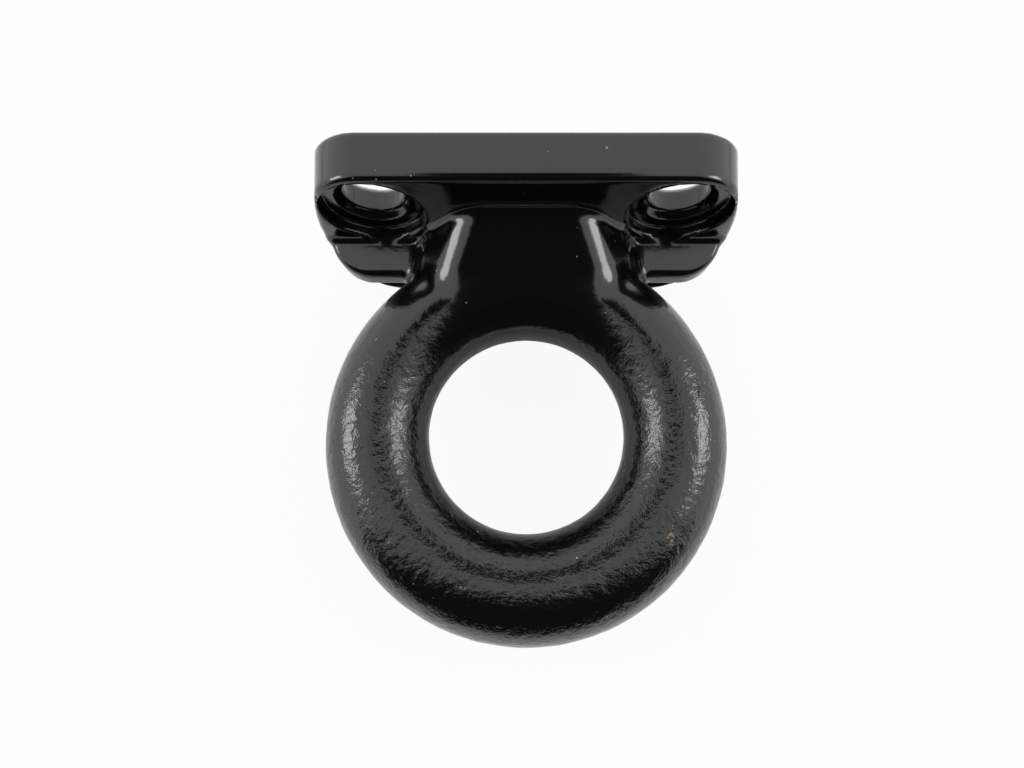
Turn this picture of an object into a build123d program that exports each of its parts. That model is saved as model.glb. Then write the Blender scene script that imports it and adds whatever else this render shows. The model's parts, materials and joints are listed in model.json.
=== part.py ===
"""Lunette ring: a one-piece forged towing eye with a four-bolt flange.

Millimetres. The origin is the centre of the mounting face, +Y points out of that face,
away from the eye, and +Z is the axis of the eye. The forging dies part on the plane Z = 0.
"""

import os
from math import acos, atan2, cos, hypot, radians, sin, tan

from build123d import *

# Ring: the bar is thickest at the nose, where the towing hook wears it, and its root
# stands just clear of the flange's plate
eye_diameter = 63.5
bar_nose = 35.8
bar_side = 32.2
bar_root = 30.0
ring_clearance = 0.65
section_step = 15.0

# Flange: a plate whose ends draw in from the parting plane
flange_width = 128.2
end_bow = 9.9
flange_depth = 76.0
flange_thickness = 13.0
flange_corner = 16.0
flange_edge = 2.4
mounting_edge = 1.0

# Rib under the flange, along the parting plane, that carries the ring's shoulders
rib_drop = 24.3
rib_thickness = 8.8
rib_tip = 3.5
rib_shoulder = 9.2
rib_draft = 20.0
rib_corner = 12.0
rib_root = 5.0
notch_root = 2.4

# Neck: flat front and back, flanks that run out onto the ring, concave roots at the flange
neck_width = 35.0
neck_shoulder = 5.0
neck_relief = 1.4
neck_edge = 3.0
neck_root = 11.0
neck_turn = 80.0
neck_bite = 0.3

# Bolt holes and their seats
bolt_spacing_x = 88.9
bolt_spacing_z = 41.3
bolt_bore = 17.5
bore_chamfer = 1.2
seat_diameter = 29.4
seat_depth = 3.5
seat_draft = 10.0

eye_radius = eye_diameter / 2
eye_reach = flange_thickness + ring_clearance + bar_root + eye_radius
eye_centre = Vector(0, -eye_reach, 0)
half_depth = flange_depth / 2
crest_radius = eye_radius + bar_root / 2


def bar_thickness(angle):
    """Thickness of the bar at an angle from the nose, smooth from nose to side to root."""
    swing = (bar_nose - bar_root) / 2
    crown = (bar_nose + bar_root) / 2 - bar_side
    return bar_side + swing * cos(radians(angle)) + crown * cos(radians(angle)) ** 2


def bar_section(angle):
    """Round section of the bar, in the plane through the eye's axis at that angle."""
    thickness = bar_thickness(angle)
    outward = Vector(sin(radians(angle)), -cos(radians(angle)), 0)
    along = Vector(cos(radians(angle)), sin(radians(angle)), 0)
    centre = eye_centre + outward * (eye_radius + thickness / 2)
    return Plane(origin=centre, x_dir=outward, z_dir=along) * Circle(thickness / 2)


def make_ring():
    """The eye: two mirrored lofts through round sections, from the nose to the root."""
    steps = round(180 / section_step)
    half = loft([bar_section(180 * step / steps) for step in range(steps + 1)])
    return half + mirror(half, about=Plane.YZ)


def flange_plan():
    """Outline of the flange seen along Y: straight front and back, bowed ends."""
    end = flange_width / 2
    front_end = end - end_bow
    outline = make_face(
        [
            Line((-front_end, half_depth), (front_end, half_depth)),
            ThreePointArc((front_end, half_depth), (end, 0), (front_end, -half_depth)),
            Line((front_end, -half_depth), (-front_end, -half_depth)),
            ThreePointArc((-front_end, -half_depth), (-end, 0), (-front_end, half_depth)),
        ]
    )
    return fillet(outline.vertices(), flange_corner)


def flange_profile():
    """T-shaped section across the flange: rims and rib tip rounded, rib roots filled."""
    half_rib = rib_thickness / 2
    plate = Pos(-flange_thickness / 2, 0) * Rectangle(flange_thickness, flange_depth)
    rib = Pos(-rib_drop / 2, 0) * Rectangle(rib_drop, rib_thickness)
    section = plate + rib
    section = fillet(section.vertices().group_by(Axis.X)[0], rib_tip)
    roots = section.vertices().filter_by_position(Axis.Y, -half_rib, half_rib)
    section = fillet(roots.sort_by(Axis.X)[-2:], rib_root)
    outer = section.vertices().group_by(Axis.Y)
    rims = outer[0].sort_by(Axis.X)[:1] + outer[-1].sort_by(Axis.X)[:1]
    return fillet(rims, flange_edge)


def flange_outline():
    """Outline of the flange seen along the eye's axis: the rib's ends lean in and turn under."""
    slope = tan(radians(rib_draft))
    top = flange_width / 2 + rib_shoulder * slope
    foot = top - rib_drop * slope
    outline = make_face(
        Polyline((-top, 0), (top, 0), (foot, -rib_drop), (-foot, -rib_drop), close=True)
    )
    return fillet(outline.vertices().group_by(Axis.Y)[0], rib_corner)


def make_flange():
    """Plate and rib in one block, cut to all three outlines, its mounting face eased."""
    block = extrude(Plane.XZ * flange_plan(), amount=rib_drop)
    block &= extrude(Plane.YZ * flange_profile(), amount=flange_width, both=True)
    block &= extrude(flange_outline(), amount=flange_depth, both=True)
    mounting_face = block.faces().sort_by(Axis.Y)[-1]
    return fillet(mounting_face.edges(), mounting_edge)


def neck_plan():
    """Outline of the neck seen along the eye's axis: its flanks touch a circle on the bar."""
    half_width = neck_width / 2
    foot = eye_reach - flange_thickness
    flank_radius = crest_radius + neck_shoulder
    lean = atan2(half_width, foot) + acos(flank_radius / hypot(half_width, foot))
    away = Vector(sin(lean), cos(lean), 0)
    touch = eye_centre + away * flank_radius
    inner = eye_centre + away * crest_radius
    upper = Vector(half_width - flange_thickness / 2 / tan(lean), -flange_thickness / 2)
    right = [Line(upper, touch), Line(touch, inner)]
    crest = ThreePointArc(inner, (0, crest_radius - eye_reach), (-inner.X, inner.Y))
    left = [mirror(line, about=Plane.YZ) for line in right]
    top = Line(upper, (-upper.X, upper.Y))
    return make_face([*right, crest, *left, top])


def neck_profile():
    """Half of the neck seen along X: flat, then swept up into the flange by a concave root."""
    low = bar_root / 2 - neck_relief
    turn = radians(neck_turn)
    bend = Vector(-flange_thickness - neck_root, low)
    middle = bend + Vector(sin(turn / 2), 1 - cos(turn / 2)) * neck_root
    stop = bend + Vector(sin(turn), 1 - cos(turn)) * neck_root
    tail = stop + Vector(1, tan(turn)) * (neck_bite - flange_thickness - stop.X)
    return make_face(
        [
            Line((-eye_reach, 0), (-eye_reach, low)),
            Line((-eye_reach, low), bend),
            ThreePointArc(bend, middle, stop),
            Line(stop, tail),
            Line(tail, (0, tail.Y)),
            Line((0, tail.Y), (0, 0)),
            Line((0, 0), (-eye_reach, 0)),
        ]
    )


def make_neck():
    """Front half of the neck with its long edges rounded, mirrored to the back."""
    front = extrude(neck_plan(), amount=half_depth)
    front &= extrude(Plane.YZ * neck_profile(), amount=flange_width, both=True)
    flat = front.faces().filter_by(Axis.Z).sort_by(Axis.Z)[1]
    flanks = flat.edges().filter_by(GeomType.LINE).sort_by(SortBy.LENGTH)[-3:]
    front = fillet(flanks.filter_by(Axis.X, reverse=True), neck_edge)
    return front + mirror(front, about=Plane.XY)


def seat_cutter():
    """Bolt seat: a shallow round recess with a flat floor and drafted wall."""
    floor = flange_thickness - seat_depth
    height = rib_drop - floor
    radius = seat_diameter / 2
    rim = radius + height * tan(radians(seat_draft))
    recess = Cone(radius, rim, height, align=(Align.CENTER, Align.CENTER, Align.MIN))
    return Plane.XZ.offset(floor) * recess


def bore_cutter():
    """Bolt bore, chamfered at the mounting face and at the seat's floor."""
    depth = flange_thickness - seat_depth
    hole = Cylinder(bolt_bore / 2, depth, align=(Align.CENTER, Align.CENTER, Align.MIN))
    mouth = Cone(
        bolt_bore / 2 + bore_chamfer,
        bolt_bore / 2,
        bore_chamfer,
        align=(Align.CENTER, Align.CENTER, Align.MIN),
    )
    far_mouth = mirror(mouth, about=Plane.XY.offset(depth / 2))
    return Plane.XZ * (hole + mouth + far_mouth)


def make_lunette():
    """Ring, neck and flange as one forging, with the bolt seats and bores cut last."""
    eye = make_ring() + make_neck()
    base = make_flange()
    forging = base + eye
    seam = new_edges(base, eye, combined=forging)
    notches = seam.filter_by(lambda edge: edge.center().Y < rib_tip - rib_drop)
    forging = fillet(notches, notch_root)
    cutter = seat_cutter() + bore_cutter()
    bolts = [place.position for place in GridLocations(bolt_spacing_x, bolt_spacing_z, 2, 2)]
    return forging - [Pos(bolt.X, 0, bolt.Y) * cutter for bolt in bolts]


os.makedirs("parts", exist_ok=True)
export_step(make_lunette(), "parts/lunette_ring.step")
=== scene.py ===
"""Dresses the forged lunette ring: its blended, hammered, painted surface and the stage round it."""

import json
import math

import bpy
import numpy as np
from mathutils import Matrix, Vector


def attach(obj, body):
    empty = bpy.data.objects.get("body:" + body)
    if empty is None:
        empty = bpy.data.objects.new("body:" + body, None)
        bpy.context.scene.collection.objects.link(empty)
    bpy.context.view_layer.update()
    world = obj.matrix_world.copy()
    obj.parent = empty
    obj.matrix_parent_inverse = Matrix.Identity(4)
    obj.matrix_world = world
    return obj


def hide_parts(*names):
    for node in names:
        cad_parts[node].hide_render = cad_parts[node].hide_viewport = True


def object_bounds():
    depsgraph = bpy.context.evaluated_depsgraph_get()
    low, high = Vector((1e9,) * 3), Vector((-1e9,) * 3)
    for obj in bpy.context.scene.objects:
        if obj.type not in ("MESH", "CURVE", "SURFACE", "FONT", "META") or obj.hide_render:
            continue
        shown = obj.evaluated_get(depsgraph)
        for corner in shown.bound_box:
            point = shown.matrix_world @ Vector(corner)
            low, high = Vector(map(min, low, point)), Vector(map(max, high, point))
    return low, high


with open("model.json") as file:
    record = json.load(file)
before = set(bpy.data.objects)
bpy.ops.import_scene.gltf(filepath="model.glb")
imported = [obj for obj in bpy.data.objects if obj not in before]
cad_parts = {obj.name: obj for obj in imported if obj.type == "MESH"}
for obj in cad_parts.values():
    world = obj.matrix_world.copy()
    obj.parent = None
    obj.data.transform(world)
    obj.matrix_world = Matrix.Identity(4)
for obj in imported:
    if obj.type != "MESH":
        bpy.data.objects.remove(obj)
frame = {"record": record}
CAD_BOX = [list(corner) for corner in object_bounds()]

bl_info = {
    "name": "Lunette ring",
    "version": (1, 0, 0),
    "blender": (4, 5, 0),
    "location": "View3D > Sidebar > Lunette",
    "description": "Builds a painted, forged towing eye with a bolt-on flange",
    "category": "Add Mesh",
}

MM = 0.001
NODE = "lunette_ring"
PHOTO_WIDTH = 1024
SENSOR = 36.0
LAMP_ANGLES = {"left_lamp": math.radians(-55.0), "right_lamp": math.radians(52.0)}

# Surface mesh: how strongly a vertex is held at its cell's middle, and how far it may leave it
NET_HOLD, NET_REACH = 0.08, 0.6

# Skin of the forging, in millimetres: where the seats and the plate keep it smooth
SEAT_CLEAR, SEAT_FADE, SEAT_LEVEL = 17.0, 4.0, -26.0
NECK_LEVEL, NECK_FADE = -30.0, 28.0
SMOOTHEST = 0.12

# Spots on the front of the ring: place and size in millimetres, and what they show
CHIPS = (
    ((42.5, -107.6), (4.4, 7.0), "rust"),
    ((51.2, -63.9), (2.8, 5.0), "paint"),
    ((-19.1, -121.6), (4.6, 2.2), "primer"),
    ((52.9, -108.4), (1.8, 2.0), "paint"),
)

# Opening of the light tent: swing is measured from overhead towards the flange
OPENING_SWING = math.radians(-42.0)
OPENING_LEAN = math.radians(60.0)
OPENING_EDGE = math.radians(4.0)
OPENING_BACK = math.radians(-4.0), math.radians(6.0)
OPENING_LIGHT = 0.03

MOUNTS = {mount["name"]: mount for mount in frame["record"]["mounts"]}
BOLTS = MOUNTS["flange_bolts"]["dims"]
EYE_PLACE = MOUNTS["towing_eye"]["pos_m"]
BOX_LOW, BOX_HIGH = np.array(CAD_BOX)


def linear(hex_colour):
    """sRGB hex to linear light: v / 12.92 below 0.04045, else ((v + 0.055) / 1.055) ** 2.4."""
    digits = hex_colour.lstrip("#")
    values = [int(digits[i : i + 2], 16) / 255 for i in (0, 2, 4)]
    return [v / 12.92 if v <= 0.04045 else ((v + 0.055) / 1.055) ** 2.4 for v in values]


def length(name, words, default):
    """A size in metres that the sidebar shows with its unit."""
    return bpy.props.FloatProperty(
        name=name, description=words, default=default, min=0.0, unit="LENGTH", precision=5
    )


def colour(name, words, hex_colour):
    """A colour that the sidebar shows as a swatch."""
    return bpy.props.FloatVectorProperty(
        name=name,
        description=words,
        default=linear(hex_colour),
        min=0.0,
        max=1.0,
        subtype="COLOR",
    )


class ForgingSizes(bpy.types.PropertyGroup):
    """Sizes of the forging's surface."""

    eye_diameter: length("Eye", "Width of the eye at its throat", 63.5 * MM)
    bar_nose: length("Bar at nose", "Thickness of the bar at the nose", 35.8 * MM)
    bar_side: length("Bar at side", "Thickness of the bar at the sides", 32.2 * MM)
    bar_root: length("Bar at root", "Thickness of the bar at the neck", 30.0 * MM)
    plate_thickness: length("Plate", "Thickness of the flange's plate", 13.0 * MM)
    end_bow: length("End bow", "How far the plate's ends draw in", 9.9 * MM)
    plate_corner: length("Plate corner", "Radius of the plate's corners", 16.0 * MM)
    plate_rim: length("Plate rim", "Rounding of the plate's rims", 1.6 * MM)
    mounting_edge: length("Mounting edge", "Rounding round the mounting face", 1.0 * MM)
    rib_drop: length("Rib drop", "Depth of the rib from the mounting face", 24.3 * MM)
    rib_thickness: length("Rib", "Thickness of the rib at its foot", 7.2 * MM)
    rib_tip: length("Rib tip", "Rounding of the rib's foot", 1.8 * MM)
    rib_shoulder: length("Rib shoulder", "Depth where the rib's ends lean in", 9.2 * MM)
    rib_corner: length("Rib corner", "Radius of the rib's lower corners", 8.0 * MM)
    rib_root: length("Rib root", "Fillet between rib and plate", 2.0 * MM)
    notch_root: length("Notch", "Fillet between rib and ring", 4.0 * MM)
    neck_width: length("Neck width", "Width of the neck's face at the plate", 34.8 * MM)
    neck_head: length("Neck head", "Half thickness of the neck at the plate", 24.0 * MM)
    neck_foot: length("Neck foot", "Width of the neck's foot at the plate", 66.0 * MM)
    neck_edge: length("Neck edge", "Rounding of the neck's long edges", 3.0 * MM)
    neck_root: length("Neck root", "Concave root between neck and plate", 2.5 * MM)
    flank_round: length("Flank rounding", "Rounding at the foot of the neck's flanks", 5.0 * MM)
    seat_diameter: length("Bolt seat", "Width of a bolt seat's floor", 29.4 * MM)
    seat_depth: length("Seat depth", "Depth of a bolt seat", 3.5 * MM)
    bore_chamfer: length("Bore chamfer", "Chamfer at a bore's mouths", 1.8 * MM)
    cell: length("Mesh cell", "Spacing of the surface's mesh", 0.85 * MM)
    flank_tilt: bpy.props.FloatProperty(
        name="Flank tilt",
        description="How far a flank of the neck faces along the eye's axis",
        default=math.radians(46.0),
        subtype="ANGLE",
    )
    flank_turn: bpy.props.FloatProperty(
        name="Flank turn",
        description="How far a flank of the neck faces the plate",
        default=math.radians(-4.6),
        subtype="ANGLE",
    )
    foot_turn: bpy.props.FloatProperty(
        name="Foot turn",
        description="How far a flank's foot faces the plate",
        default=math.radians(22.0),
        subtype="ANGLE",
    )
    rib_draft: bpy.props.FloatProperty(
        name="Rib draft",
        description="Lean of the rib's ends",
        default=math.radians(20.0),
        subtype="ANGLE",
    )
    wall_draft: bpy.props.FloatProperty(
        name="Rib wall draft",
        description="Lean of the rib's front and back",
        default=math.radians(9.0),
        subtype="ANGLE",
    )
    seat_draft: bpy.props.FloatProperty(
        name="Seat draft",
        description="Lean of a bolt seat's wall",
        default=math.radians(10.0),
        subtype="ANGLE",
    )


class PaintLooks(bpy.types.PropertyGroup):
    """Colours and surface relief of the paint and of the metal under it."""

    paint: colour("Paint", "Black enamel", "#08080a")
    rust: colour("Rust", "Bare metal that has browned in a chip", "#8a7867")
    primer: colour("Nick", "Scraped paint in a nick", "#6b6b6b")
    # Light specks over the paint: partly dust, partly painted glints standing in for small highlights
    dust: colour("Dust", "Dust on the paint", "#8a8a8c")
    hammer_height: length("Hammer height", "Depth of the forging's uneven skin", 0.12 * MM)
    broad_dent: length("Broad dent", "Spacing of the skin's broad dents", 5.0 * MM)
    small_dent: length("Small dent", "Spacing of the skin's smaller dents", 2.6 * MM)
    pit_size: length("Pit spacing", "Spacing of the small pits", 1.7 * MM)
    bump_size: length("Bump spacing", "Spacing of the paint's fine bumps", 2.0 * MM)
    bump_height: length("Bump height", "Height of the paint's fine bumps", 0.3 * MM)
    chip_edge: length("Chip edge", "Size of the tatters round a chip", 0.9 * MM)
    chip_depth: length("Chip depth", "Thickness of the paint at a chip", 0.25 * MM)
    # Spacing of the light specks, which are partly dust and partly painted glints
    dust_spacing: length("Dust spacing", "Spacing of the dust specks", 3.0 * MM)
    pit_height: length("Pit height", "Depth of the small pits in the skin", 0.14 * MM)


class StageLooks(bpy.types.PropertyGroup):
    """The floor, the tent of light round the part, and the camera."""

    floor: colour("Floor", "White table", "#f4f4f4")
    floor_gap: length("Floor gap", "Gap between the flange's edge and the floor", 0.3 * MM)
    floor_size: length("Floor size", "Width of the floor", 12.0)
    card_width: length("Card width", "Width of the black card over the neck", 0.120)
    card_near: bpy.props.FloatProperty(
        name="Card near edge", description="Card's edge over the eye", default=-0.03, unit="LENGTH"
    )
    card_far: length("Card far edge", "Card's edge behind the flange", 0.075)
    card_height: length("Card height", "Height of the black card", 0.220)
    lamp_width: length("Lamp width", "Width of each side lamp", 0.26)
    lamp_distance: length("Lamp distance", "Distance of the lamps from the part", 0.7)
    lamp_power: bpy.props.FloatProperty(
        name="Lamp power", description="Power of each side lamp", default=0.85, unit="POWER"
    )
    lamp_forward: bpy.props.FloatProperty(
        name="Lamp forward", description="Shift of the lamps towards the flange", default=0.15
    )
    floor_white: bpy.props.FloatProperty(
        name="Floor white", description="Share of plain white in the floor", default=0.93, subtype="FACTOR"
    )
    camera_y: bpy.props.FloatProperty(
        name="Camera Y", description="Camera's place along Y", default=-0.0966, unit="LENGTH"
    )
    camera_z: length("Camera height", "Camera's height over the eye's mid-plane", 0.1827)
    camera_pitch: bpy.props.FloatProperty(
        name="Camera pitch",
        description="Lean of the camera towards the flange",
        default=math.radians(1.54),
        subtype="ANGLE",
    )
    focal_pixels: bpy.props.FloatProperty(
        name="Focal length", description="Focal length in picture pixels", default=565.0
    )
    shift_x: bpy.props.FloatProperty(name="Shift X", description="Lens shift", default=-0.0139)
    shift_y: bpy.props.FloatProperty(name="Shift Y", description="Lens shift", default=0.10)


def round_union(a, b, radius):
    """Union of two distance fields with a concave fillet: max(r, min(a, b)) less the length
    of the vector (r - a, r - b), each part at least zero."""
    corner = np.hypot(np.maximum(radius - a, 0), np.maximum(radius - b, 0))
    return np.maximum(radius, np.minimum(a, b)) - corner


def round_meet(a, b, radius):
    """Intersection of two distance fields with a convex fillet: min(-r, max(a, b)) plus the
    length of the vector (r + a, r + b), each part at least zero."""
    corner = np.hypot(np.maximum(radius + a, 0), np.maximum(radius + b, 0))
    return np.minimum(-radius, np.maximum(a, b)) + corner


class Forging:
    """Distance field of the forging in millimetres: negative inside, zero on the surface."""

    def __init__(self, sizes):
        """Takes every size in millimetres, and the eye's place and the bolts from the frame."""
        for name in sizes.__annotations__:
            value = getattr(sizes, name)
            is_angle = name.endswith(("draft", "tilt", "turn"))
            setattr(self, name, value if is_angle else value / MM)
        self.eye_y = EYE_PLACE[1] / MM
        self.half_width = BOX_HIGH[0] / MM
        self.half_depth = BOX_HIGH[2] / MM
        self.bolt_x = BOLTS["spacing_x_mm"] / 2
        self.bolt_z = BOLTS["spacing_y_mm"] / 2
        self.bore_radius = BOLTS["hole_r_mm"]
        self.eye_radius = self.eye_diameter / 2
        self.crest_radius = self.eye_radius + self.bar_root / 2

    def ring(self, x, y, z):
        """Round bar about the eye: hypot(r - centre, z) less half the bar's thickness, which
        is side + swing cos(a) + crown cos(a) ** 2 at the angle a from the nose."""
        swing = (self.bar_nose - self.bar_root) / 2
        crown = (self.bar_nose + self.bar_root) / 2 - self.bar_side
        radius = np.hypot(x, y - self.eye_y)
        cosine = (self.eye_y - y) / np.maximum(radius, 1.0)
        half_bar = (self.bar_side + swing * cosine + crown * cosine**2) / 2
        return np.hypot(radius - self.eye_radius - half_bar, z) - half_bar

    def plan(self, x, z):
        """Flange seen along Y: straight front and back, ends bowed as arcs, corners rounded."""
        bow_radius = (self.half_depth**2 + self.end_bow**2) / (2 * self.end_bow)
        ends = np.hypot(np.abs(x) + bow_radius - self.half_width, z) - bow_radius
        lean = math.asin(self.half_depth / bow_radius)
        tangent = self.plate_corner * math.tan((math.pi / 2 - lean) / 2)
        return round_meet(ends, np.abs(z) - self.half_depth, tangent * math.cos(lean))

    def plate(self, x, y, z):
        """Plan carried through the plate's thickness, its two rims rounded."""
        plan = self.plan(x, z)
        lower = round_meet(plan, -self.plate_thickness - y, self.plate_rim)
        return round_meet(lower, y, self.mounting_edge)

    def rib(self, x, y, z):
        """Web on the parting plane whose ends lean in, turn under in an arc and have a round tip."""
        top = self.half_width + self.rib_shoulder * math.tan(self.rib_draft)
        lean = (np.abs(x) - top) * math.cos(self.rib_draft) - y * math.sin(self.rib_draft)
        outline = round_meet(lean, -self.rib_drop - y, self.rib_corner)
        outline = np.maximum(outline, self.plan(x, z))
        outline = np.maximum(outline, y + self.plate_thickness / 2)
        wall = np.abs(z) - self.rib_thickness / 2 - (y + self.rib_drop) * math.tan(self.wall_draft)
        return round_meet(outline, wall * math.cos(self.wall_draft), self.rib_tip)

    def neck(self, x, y, z):
        """Wedge from the plate down to the ring, the same front and back. Its face runs from the
        head's half thickness at the plate to a tangent on the bar, and each flank is a plane
        that leans in from the rib, with a rounded edge between them. A steeper plane keeps the
        flank's foot from standing out of the ring."""
        x, z = np.abs(x), np.abs(z)
        centre = self.eye_y + self.crest_radius
        rise = -self.plate_thickness - centre
        reach = math.hypot(rise, self.neck_head)
        lean = math.atan2(self.neck_head, rise) + math.acos(self.bar_root / 2 / reach)
        face = (y - centre) * math.cos(lean) + z * math.sin(lean) - self.bar_root / 2
        below = y + self.plate_thickness
        flank = (x - self.neck_width / 2) * math.cos(self.flank_turn) + below * math.sin(self.flank_turn)
        flank = flank * math.cos(self.flank_tilt) + (z - self.neck_head) * math.sin(self.flank_tilt)
        foot = (x - self.neck_foot / 2) * math.cos(self.foot_turn) + below * math.sin(self.foot_turn)
        block = round_meet(face, round_meet(flank, foot, self.flank_round), self.neck_edge)
        inner = self.crest_radius + self.bar_root / 2 * math.cos(lean) - np.hypot(x, y - self.eye_y)
        return np.maximum(np.maximum(block, inner), y + self.plate_thickness / 2)

    def bolt_cuts(self, x, y, z):
        """Seat, bore and the bore's two chamfers, the same at each of the four bolts."""
        across = np.hypot(np.abs(x) - self.bolt_x, np.abs(z) - self.bolt_z)
        floor = self.seat_depth - self.plate_thickness
        wall = across - self.seat_diameter / 2 - (floor - y) * math.tan(self.seat_draft)
        seat = np.maximum(wall * math.cos(self.seat_draft), y - floor)
        seat = np.maximum(seat, -self.plate_thickness - self.bore_chamfer - y)
        bore = across - self.bore_radius
        chamfer = np.maximum(floor + self.bore_chamfer - y, y + self.bore_chamfer)
        mouth = (bore - np.minimum(chamfer, self.bore_chamfer)) * math.sqrt(0.5)
        return seat, np.maximum(np.minimum(bore, mouth), -self.rib_drop - y)

    def __call__(self, points):
        """The whole forging: ring, neck, rib and plate joined by fillets, then cut for bolts."""
        x, y, z = points
        ring, neck = self.ring(x, y, z), self.neck(x, y, z)
        plate, rib = self.plate(x, y, z), self.rib(x, y, z)
        eye = round_union(ring, neck, self.neck_edge)
        ribbed = round_union(rib, eye, self.notch_root)
        rooted = round_union(plate, neck, self.neck_root)
        body = round_union(np.minimum(plate, rooted), ribbed, self.rib_root)
        seat, bore = self.bolt_cuts(x, y, z)
        return np.maximum(np.maximum(body, -seat), -bore)

    def slope(self, points, step=0.02):
        """Unit gradient of the field by central differences."""
        sides = []
        for axis in range(3):
            shift = np.zeros((3, 1))
            shift[axis] = step
            sides.append(self(points + shift) - self(points - shift))
        slope = np.array(sides)
        return slope / np.maximum(np.linalg.norm(slope, axis=0), 1e-9)


def surface_net(field, low, high, cell):
    """Closed quad mesh of the field's zero surface.

    Each grid cell that the surface passes through gets one vertex. It is the point nearest,
    in the least squares sense, to the tangent planes where the cell's edges cross zero, so
    that it sits on a sharp edge where there is one. Each grid edge that crosses zero gets one
    quad between the four cells round it.
    """
    counts = np.ceil((high - low) / cell).astype(int) + 1
    axes = [low[i] + cell * np.arange(counts[i]) for i in range(3)]
    values = field(np.meshgrid(*axes, indexing="ij"))
    inside = values < 0
    crossings, slopes, rings = [], [], []
    for axis in range(3):
        first, second = [slice(None)] * 3, [slice(None)] * 3
        first[axis], second[axis] = slice(None, -1), slice(1, None)
        first, second = tuple(first), tuple(second)
        change = inside[first] != inside[second]
        edges = np.argwhere(change)
        start, end = values[first][change], values[second][change]
        place = low[:, None] + cell * edges.T
        place[axis] += cell * start / (start - end)
        crossings.append(place)
        slopes.append(field.slope(place))
        ring = []
        u, v = (axis + 1) % 3, (axis + 2) % 3
        for du, dv in ((-1, -1), (0, -1), (0, 0), (-1, 0)):
            cells = edges.copy()
            cells[:, u] += du
            cells[:, v] += dv
            ring.append(np.ravel_multi_index(cells.T, counts))
        ring = np.array(ring).T
        rings.append(np.where((start < 0)[:, None], ring, ring[:, ::-1]))
    place = np.repeat(np.concatenate(crossings, axis=1), 4, axis=1)
    slope = np.repeat(np.concatenate(slopes, axis=1), 4, axis=1)
    _, owner = np.unique(np.concatenate(rings).ravel(), return_inverse=True)
    count = np.bincount(owner)
    centre = np.array([np.bincount(owner, axis) for axis in place]) / count
    reach = np.sum(slope * (place - centre[:, owner]), axis=0)
    pull = np.array([np.bincount(owner, reach * axis) for axis in slope]).T
    matrix = np.array([[np.bincount(owner, a * b) for a in slope] for b in slope])
    matrix = matrix.transpose(2, 0, 1) + NET_HOLD * np.eye(3)
    step = np.linalg.solve(matrix, pull[:, :, None])[:, :, 0].T
    step = np.clip(step, -NET_REACH * cell, NET_REACH * cell)
    return centre + step, owner.reshape(-1, 4)


def lattice_noise(points, size, seed):
    """Value noise from -1 to 1: random numbers on a cubic lattice of that size in millimetres,
    blended between corners by 6t^5 - 15t^4 + 10t^3."""
    table = np.random.default_rng(seed).uniform(-1, 1, (64, 64, 64))
    scaled = points / size
    base = np.floor(scaled).astype(int)
    t = scaled - base
    t = t**3 * (t * (6 * t - 15) + 10)
    result = np.zeros(points.shape[1])
    for corner in np.ndindex(2, 2, 2):
        offset = np.array(corner)[:, None]
        weight = np.prod(np.where(offset, t, 1 - t), axis=0)
        result += weight * table[tuple((base + offset) % 64)]
    return result


def forged_skin(points):
    """How rough the skin is, from 0 to 1: full on the ring, falling off along the neck, and least
    on the plate's smoother sides, the rib and the pressed bolt seats."""
    x, y, z = points
    across = np.hypot(np.abs(x) - BOLTS["spacing_x_mm"] / 2, np.abs(z) - BOLTS["spacing_y_mm"] / 2)
    away_from_seats = np.maximum(across - SEAT_CLEAR, SEAT_LEVEL - y) / SEAT_FADE
    away_from_plate = (NECK_LEVEL - y) / NECK_FADE
    return np.clip(np.minimum(away_from_seats, away_from_plate), SMOOTHEST, 1.0)


def forged_relief(points, skin, looks):
    """Height of the uneven skin along the normal: broad dents from two sizes of noise, and small
    pits where a finer noise runs high, all scaled by how rough the skin is."""
    broad = lattice_noise(points, looks.broad_dent / MM, 3)
    broad = broad + 0.6 * lattice_noise(points, looks.small_dent / MM, 5)
    fine = np.maximum(lattice_noise(points, looks.pit_size / MM, 7) - 0.25, 0)
    return (looks.hammer_height * broad / 2 - looks.pit_height * fine) / MM * skin


def add_node(tree, kind, settings=None, links=None):
    """Adds a node, sets its properties or input values, and links its inputs from sockets."""
    node = tree.nodes.new(kind)
    for name, value in (settings or {}).items():
        if isinstance(name, int) or name in node.inputs:
            node.inputs[name].default_value = value
        else:
            setattr(node, name, value)
    for name, socket in (links or {}).items():
        tree.links.new(socket, node.inputs[name])
    return node


def chip_mask(tree, where, ragged, centre, size):
    """Mask of a ragged spot on the front: one inside an ellipse of that centre and size in
    millimetres, its outline pushed about by a noise."""
    offset = add_node(
        tree,
        "ShaderNodeVectorMath",
        {"operation": "SUBTRACT", 1: (centre[0] * MM, centre[1] * MM, 0.0)},
        {0: where},
    )
    scaled = add_node(
        tree,
        "ShaderNodeVectorMath",
        {"operation": "MULTIPLY", 1: (2 / MM / size[0], 2 / MM / size[1], 0.0)},
        {0: offset.outputs[0]},
    )
    away = add_node(
        tree, "ShaderNodeVectorMath", {"operation": "LENGTH"}, {0: scaled.outputs[0]}
    )
    edge = add_node(
        tree,
        "ShaderNodeMath",
        {"operation": "MULTIPLY_ADD", 1: 3.0},
        {0: ragged, 2: away.outputs["Value"]},
    )
    spot = add_node(
        tree,
        "ShaderNodeMapRange",
        {"From Min": 1.85, "From Max": 1.7},
        {"Value": edge.outputs[0]},
    )
    height = add_node(tree, "ShaderNodeSeparateXYZ", links={0: where}).outputs["Z"]
    front = add_node(tree, "ShaderNodeMath", {"operation": "GREATER_THAN", 1: 0.0}, {0: height})
    return add_node(
        tree, "ShaderNodeMath", {"operation": "MULTIPLY"}, {0: spot.outputs[0], 1: front.outputs[0]}
    ).outputs[0]


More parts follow.
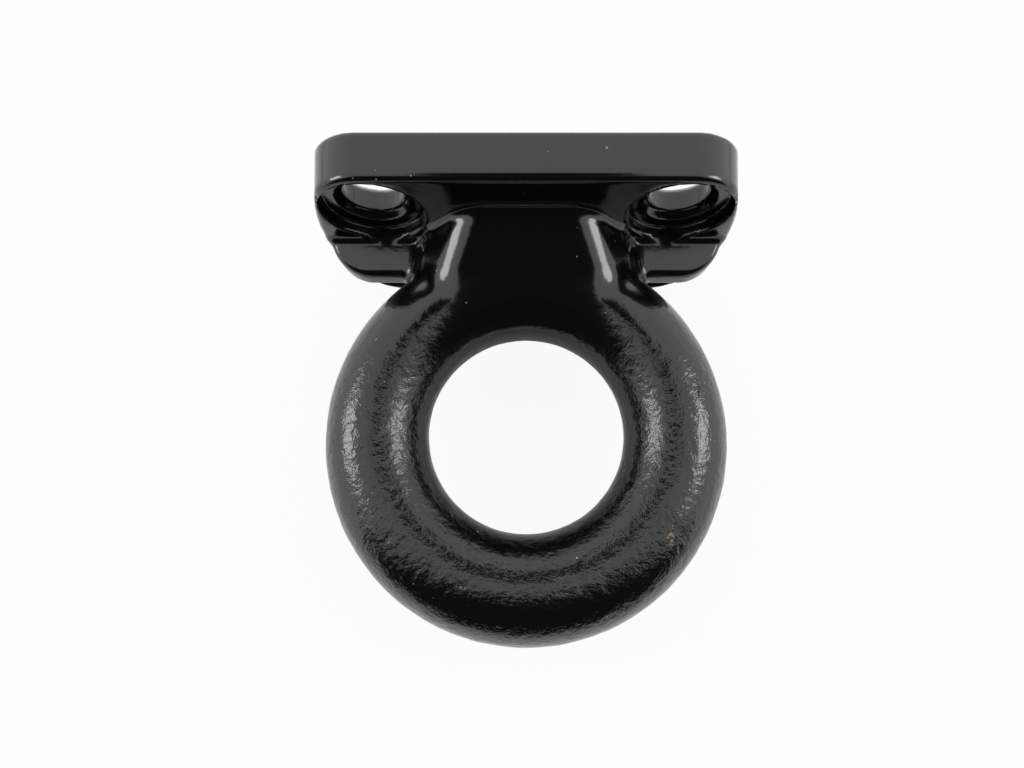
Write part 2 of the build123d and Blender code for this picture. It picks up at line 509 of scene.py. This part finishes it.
def lay_over(tree, mask, below, above):
    """Colour that is the upper one where the mask is one; a lower socket or value shows elsewhere."""
    mix = add_node(tree, "ShaderNodeMix", {"data_type": "RGBA"}, {0: mask})
    mix.inputs[7].default_value = (*above, 1.0)
    if isinstance(below, bpy.types.NodeSocket):
        tree.links.new(below, mix.inputs[6])
    else:
        mix.inputs[6].default_value = (*below, 1.0)
    return mix.outputs[2]


def black_enamel(looks):
    """Glossy black enamel sprayed over a rough drop forging: deep black, sharp reflections that
    break up on the skin's small bumps, with chips that have browned, and light specks that are
    partly dust and partly painted glints."""
    material = bpy.data.materials.new("black_enamel_on_forging")
    material.use_nodes = True
    tree = material.node_tree
    tree.nodes.clear()
    where = add_node(tree, "ShaderNodeTexCoord").outputs["Object"]
    skin = add_node(tree, "ShaderNodeAttribute", {"attribute_name": "forged_skin"}).outputs["Fac"]
    dents = add_node(
        tree,
        "ShaderNodeTexNoise",
        {"Scale": 1 / looks.bump_size, "Detail": 3.0, "Roughness": 0.6},
        {"Vector": where},
    )
    dented = add_node(
        tree,
        "ShaderNodeBump",
        {"Distance": looks.bump_height},
        {"Strength": skin, "Height": dents.outputs["Fac"]},
    )
    ragged = add_node(
        tree, "ShaderNodeTexNoise", {"Scale": 1 / looks.chip_edge, "Detail": 2.0}, {"Vector": where}
    ).outputs["Fac"]
    # Light specks laid into the paint's colour: partly dust, partly painted glints in place of small
    # highlights
    cells = add_node(tree, "ShaderNodeTexVoronoi", {"Scale": 1 / looks.dust_spacing}, {"Vector": where})
    chance = add_node(tree, "ShaderNodeSeparateXYZ", links={0: cells.outputs["Color"]}).outputs["X"]
    reach = add_node(
        tree, "ShaderNodeMapRange", {"From Min": 0.8, "To Max": 0.11}, {"Value": chance}
    )
    dust_and_glint_speck = add_node(
        tree,
        "ShaderNodeMath",
        {"operation": "LESS_THAN"},
        {0: cells.outputs["Distance"], 1: reach.outputs[0]},
    ).outputs[0]
    tone = lay_over(tree, dust_and_glint_speck, looks.paint, looks.dust)
    bare = None
    for centre, size, shows in CHIPS:
        mask = chip_mask(tree, where, ragged, centre, size)
        tone = lay_over(tree, mask, tone, getattr(looks, shows))
        if bare is None:
            bare = mask
        else:
            both = add_node(tree, "ShaderNodeMath", {"operation": "MAXIMUM"}, {0: bare, 1: mask})
            bare = both.outputs[0]
    covered = add_node(tree, "ShaderNodeMath", {"operation": "SUBTRACT", 0: 1.0}, {1: bare})
    sunk = add_node(
        tree,
        "ShaderNodeBump",
        {"Distance": looks.chip_depth, "Strength": 0.8},
        {"Height": covered.outputs[0], "Normal": dented.outputs[0]},
    )
    coat = add_node(
        tree, "ShaderNodeMath", {"operation": "MULTIPLY", 1: 0.7}, {0: covered.outputs[0]}
    )
    rough = add_node(
        tree, "ShaderNodeMapRange", {"To Min": 0.17, "To Max": 0.75}, {"Value": bare}
    )
    shader = add_node(
        tree,
        "ShaderNodeBsdfPrincipled",
        {"IOR": 1.5, "Coat Roughness": 0.07},
        {
            "Base Color": tone,
            "Roughness": rough.outputs[0],
            "Coat Weight": coat.outputs[0],
            "Normal": sunk.outputs[0],
            "Coat Normal": sunk.outputs[0],
        },
    )
    add_node(tree, "ShaderNodeOutputMaterial", links={"Surface": shader.outputs["BSDF"]})
    return material


class LUNETTE_OT_forging(bpy.types.Operator):
    """Build the painted forging in place of the plain solid"""

    bl_idname = "lunette.forging"
    bl_label = "Forging"

    def execute(self, context):
        """Meshes the distance field, raises the forged relief and paints it."""
        sizes = context.scene.lunette_sizes
        looks = context.scene.lunette_paint
        field = Forging(sizes)
        margin = 2.0
        low, high = BOX_LOW / MM - margin, BOX_HIGH / MM + margin
        points, faces = surface_net(field, low, high, field.cell)
        normals = field.slope(points)
        skin = forged_skin(points)
        points = points + normals * forged_relief(points, skin, looks)
        points = np.clip(points, BOX_LOW[:, None] / MM, BOX_HIGH[:, None] / MM)
        mesh = bpy.data.meshes.new("painted_forging")
        mesh.from_pydata((points.T * MM).astype(np.float32), [], faces)
        mesh.polygons.foreach_set("use_smooth", np.ones(len(faces), bool))
        rough = mesh.attributes.new("forged_skin", "FLOAT", "POINT")
        rough.data.foreach_set("value", skin.astype(np.float32))
        mesh.materials.append(black_enamel(looks))
        if mesh.validate():
            raise RuntimeError("the forging's mesh was not clean")
        piece = bpy.data.objects.new("painted_forging", mesh)
        context.scene.collection.objects.link(piece)
        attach(piece, "root")
        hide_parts(NODE)
        print("forging", len(faces), "quads")
        return {"FINISHED"}


def floor_material(looks):
    """White table top: the camera sees it as white, less a soft shadow."""
    material = bpy.data.materials.new("white_table")
    material.use_nodes = True
    tree = material.node_tree
    tree.nodes.clear()
    path = add_node(tree, "ShaderNodeLightPath")
    seen = add_node(
        tree,
        "ShaderNodeMath",
        {"operation": "MAXIMUM"},
        {0: path.outputs["Is Camera Ray"], 1: path.outputs["Is Transmission Ray"]},
    )
    share = add_node(
        tree, "ShaderNodeMath", {"operation": "MULTIPLY", 1: looks.floor_white}, {0: seen.outputs[0]}
    )
    table = add_node(tree, "ShaderNodeBsdfDiffuse", {"Color": (*looks.floor, 1.0)})
    white = add_node(tree, "ShaderNodeEmission", {"Color": (1.0, 1.0, 1.0, 1.0), "Strength": 1.0})
    mix = add_node(
        tree,
        "ShaderNodeMixShader",
        links={0: share.outputs[0], 1: table.outputs[0], 2: white.outputs[0]},
    )
    add_node(tree, "ShaderNodeOutputMaterial", links={"Surface": mix.outputs[0]})
    return material


def black_card_material():
    """Matt black cloth: the dark shape that the paint mirrors along its crest."""
    material = bpy.data.materials.new("black_cloth")
    material.use_nodes = True
    tree = material.node_tree
    tree.nodes.clear()
    cloth = add_node(tree, "ShaderNodeBsdfDiffuse", {"Color": (0.01, 0.01, 0.01, 1.0)})
    add_node(tree, "ShaderNodeOutputMaterial", links={"Surface": cloth.outputs[0]})
    return material


def light_tent(world):
    """White tent all round with a dark opening that starts overhead and widens towards the nose.
    Each direction is measured by its swing from overhead in the YZ plane and its lean out of
    that plane."""
    world.use_nodes = True
    tree = world.node_tree
    tree.nodes.clear()
    way = add_node(tree, "ShaderNodeTexCoord").outputs["Generated"]
    parts = add_node(tree, "ShaderNodeSeparateXYZ", links={0: way}).outputs
    swing = add_node(
        tree, "ShaderNodeMath", {"operation": "ARCTAN2"}, {0: parts["Y"], 1: parts["Z"]}
    )
    lean = add_node(tree, "ShaderNodeMath", {"operation": "ARCSINE"}, {0: parts["X"]})
    lean = add_node(tree, "ShaderNodeMath", {"operation": "ABSOLUTE"}, {0: lean.outputs[0]})
    width = add_node(
        tree,
        "ShaderNodeMapRange",
        {
            "From Min": 0.0,
            "From Max": OPENING_SWING,
            "To Min": 0.0,
            "To Max": OPENING_LEAN,
        },
        {"Value": swing.outputs[0]},
    )
    past = add_node(
        tree, "ShaderNodeMath", {"operation": "SUBTRACT"}, {0: lean.outputs[0], 1: width.outputs[0]}
    )
    side = add_node(
        tree,
        "ShaderNodeMapRange",
        {
            "interpolation_type": "SMOOTHSTEP",
            "From Min": -OPENING_EDGE,
            "From Max": OPENING_EDGE,
        },
        {"Value": past.outputs[0]},
    )
    back = add_node(
        tree,
        "ShaderNodeMapRange",
        {
            "interpolation_type": "SMOOTHSTEP",
            "From Min": OPENING_BACK[0],
            "From Max": OPENING_BACK[1],
        },
        {"Value": swing.outputs[0]},
    )
    lit = add_node(
        tree, "ShaderNodeMath", {"operation": "MAXIMUM"}, {0: side.outputs[0], 1: back.outputs[0]}
    )
    strength = add_node(
        tree, "ShaderNodeMapRange", {"To Min": OPENING_LIGHT, "To Max": 1.0}, {"Value": lit.outputs[0]}
    )
    path = add_node(tree, "ShaderNodeLightPath")
    shown = add_node(
        tree,
        "ShaderNodeMath",
        {"operation": "MAXIMUM"},
        {0: strength.outputs[0], 1: path.outputs["Is Camera Ray"]},
    )
    light = add_node(
        tree,
        "ShaderNodeBackground",
        {"Color": (1.0, 1.0, 1.0, 1.0)},
        {"Strength": shown.outputs[0]},
    )
    add_node(tree, "ShaderNodeOutputWorld", links={"Surface": light.outputs[0]})


class LUNETTE_OT_stage(bpy.types.Operator):
    """Set the floor, the lights and the camera"""

    bl_idname = "lunette.stage"
    bl_label = "Stage"

    def execute(self, context):
        """Lays the floor under the part, puts the tent and lamps round it and aims the camera."""
        scene = context.scene
        looks = scene.lunette_stage
        half = looks.floor_size / 2
        level = BOX_LOW[2] - looks.floor_gap
        mesh = bpy.data.meshes.new("floor")
        corners = [(-half, -half, level), (half, -half, level), (half, half, level), (-half, half, level)]
        mesh.from_pydata(corners, [], [(0, 1, 2, 3)])
        mesh.materials.append(floor_material(looks))
        floor = bpy.data.objects.new("floor", mesh)
        scene.collection.objects.link(floor)
        mesh = bpy.data.meshes.new("black_card")
        side, near, far = looks.card_width / 2, looks.card_near, looks.card_far
        flat = [(-side, near), (side, near), (side, far), (-side, far)]
        mesh.from_pydata([(x, y, looks.card_height) for x, y in flat], [], [(0, 1, 2, 3)])
        mesh.materials.append(black_card_material())
        card = bpy.data.objects.new("black_card", mesh)
        card.visible_camera = card.visible_diffuse = card.visible_shadow = False
        scene.collection.objects.link(card)
        scene.world = bpy.data.worlds.new("light_tent")
        light_tent(scene.world)
        aim = np.array([0.0, EYE_PLACE[1], 0.0])
        for name, turn in LAMP_ANGLES.items():
            lamp = bpy.data.lights.new(name, "AREA")
            lamp.shape = "DISK"
            lamp.size = looks.lamp_width
            lamp.energy = looks.lamp_power
            holder = bpy.data.objects.new(name, lamp)
            way = np.array([math.sin(turn), looks.lamp_forward, math.cos(turn)])
            holder.location = aim + looks.lamp_distance * way
            holder.rotation_euler = (0.0, turn, 0.0)
            scene.collection.objects.link(holder)
        lens = bpy.data.cameras.new("camera")
        lens.sensor_width = SENSOR
        lens.lens = looks.focal_pixels / PHOTO_WIDTH * SENSOR
        lens.shift_x = looks.shift_x
        lens.shift_y = looks.shift_y
        lens.clip_start = 0.005
        camera = bpy.data.objects.new("camera", lens)
        camera.location = (0.0, looks.camera_y, looks.camera_z)
        camera.rotation_euler = (looks.camera_pitch, 0.0, 0.0)
        scene.collection.objects.link(camera)
        scene.camera = camera
        scene.view_settings.view_transform = "Standard"
        return {"FINISHED"}


class LUNETTE_PT_sidebar(bpy.types.Panel):
    """Sizes, looks and steps of the lunette ring"""

    bl_label = "Lunette ring"
    bl_space_type = "VIEW_3D"
    bl_region_type = "UI"
    bl_category = "Lunette"

    def draw(self, context):
        """Lists the steps and then every size and colour."""
        column = self.layout.column()
        column.operator(LUNETTE_OT_forging.bl_idname)
        column.operator(LUNETTE_OT_stage.bl_idname)
        for group in ("lunette_sizes", "lunette_paint", "lunette_stage"):
            values = getattr(context.scene, group)
            for name in values.__annotations__:
                column.prop(values, name)


CLASSES = (
    ForgingSizes,
    PaintLooks,
    StageLooks,
    LUNETTE_OT_forging,
    LUNETTE_OT_stage,
    LUNETTE_PT_sidebar,
)


def register():
    """Adds the classes and hangs the property groups on the scene."""
    for cls in CLASSES:
        bpy.utils.register_class(cls)
    bpy.types.Scene.lunette_sizes = bpy.props.PointerProperty(type=ForgingSizes)
    bpy.types.Scene.lunette_paint = bpy.props.PointerProperty(type=PaintLooks)
    bpy.types.Scene.lunette_stage = bpy.props.PointerProperty(type=StageLooks)


def unregister():
    """Takes the property groups and classes away again."""
    del bpy.types.Scene.lunette_sizes
    del bpy.types.Scene.lunette_paint
    del bpy.types.Scene.lunette_stage
    for cls in reversed(CLASSES):
        bpy.utils.unregister_class(cls)


def main():
    register()
    bpy.ops.lunette.forging()
    bpy.ops.lunette.stage()


if __name__ == "__main__":
    main()
